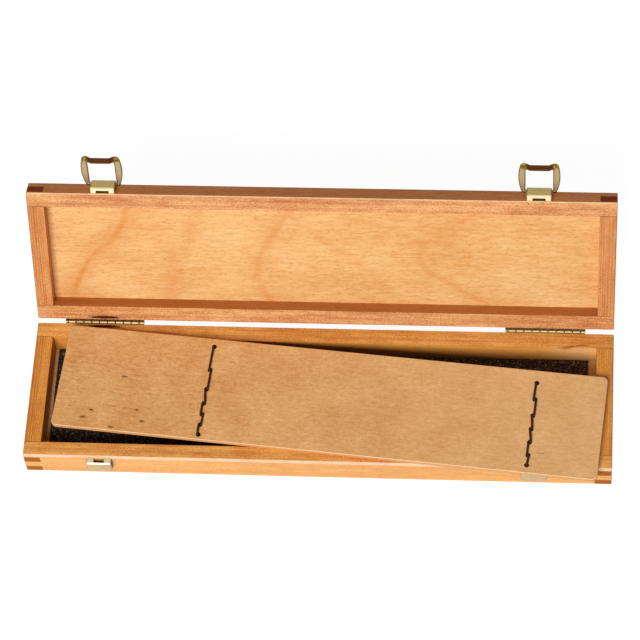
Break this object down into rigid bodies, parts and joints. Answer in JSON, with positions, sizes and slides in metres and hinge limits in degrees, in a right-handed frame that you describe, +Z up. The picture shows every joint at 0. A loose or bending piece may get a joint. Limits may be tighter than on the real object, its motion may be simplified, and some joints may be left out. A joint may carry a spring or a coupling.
{
  "type": "paintbrush box",
  "caption": "Long shallow finger jointed wooden box for paintbrushes, with a hinged lid, sprung brass bail clasps, a foam floor and a loose board with elastic loops.",
  "frame": {"origin": "middle of the underside of the base", "axes": "+X along the box to the right, +Y from the front to the hinges, +Z up"},
  "size_m": [0.365, 0.1604, 0.1296],
  "materials": {
    "varnished_wood": "satin varnish over straight grained hardwood",
    "plywood": "satin varnished birch plywood",
    "brass": "bright stamped brass",
    "foam": "dark open cell foam sheet",
    "elastic": "braided black elastic cord"
  },
  "bodies": {
    "base": {"base_front_rail": "varnished_wood", "base_back_rail": "varnished_wood", "base_left_end": "varnished_wood", "base_right_end": "varnished_wood", "base_bottom_panel": "plywood", "foam_liner": "foam", "catch_left": "brass", "catch_right": "brass", "hinge_left_base_leaf": "brass", "hinge_right_base_leaf": "brass", "hinge_left_pin": "brass", "hinge_right_pin": "brass"},
    "lid": {"lid_front_rail": "varnished_wood", "lid_back_rail": "varnished_wood", "lid_left_end": "varnished_wood", "lid_right_end": "varnished_wood", "lid_panel": "plywood", "bracket_left": "brass", "bracket_right": "brass", "clasp_spring_left": "brass", "clasp_spring_right": "brass", "hinge_left_lid_leaf": "brass", "hinge_right_lid_leaf": "brass"},
    "left_bail": {"bail_left": "brass"},
    "right_bail": {"bail_right": "brass"},
    "loose_board": {"brush_board": "plywood", "elastic_left": "elastic", "elastic_right": "elastic"}
  },
  "joints": [
    {"name": "lid_hinge", "type": "hinge", "parent": "base", "child": "lid", "pos_m": [0, 0.04915, 0.02], "axis": [1, 0, 0], "range_deg": [0, 115]},
    {"name": "bail_left_pivot", "type": "hinge", "parent": "lid", "child": "left_bail", "pos_m": [-0.1346, 0.09899, 0.10605], "axis": [1, 0, 0], "range_deg": [-118, 77]},
    {"name": "bail_right_pivot", "type": "hinge", "parent": "lid", "child": "right_bail", "pos_m": [0.1346, 0.09899, 0.10605], "axis": [1, 0, 0], "range_deg": [-118, 77]},
    {"name": "board_lift", "type": "slide", "parent": "base", "child": "loose_board", "axis": [0, -0.866, 0.5], "range_m": [0, 0.1905]}
  ],
  "couplings": [
    {"joint": "board_lift", "follows": "lid_hinge", "m_per_rad": 0.094663}
  ]
}
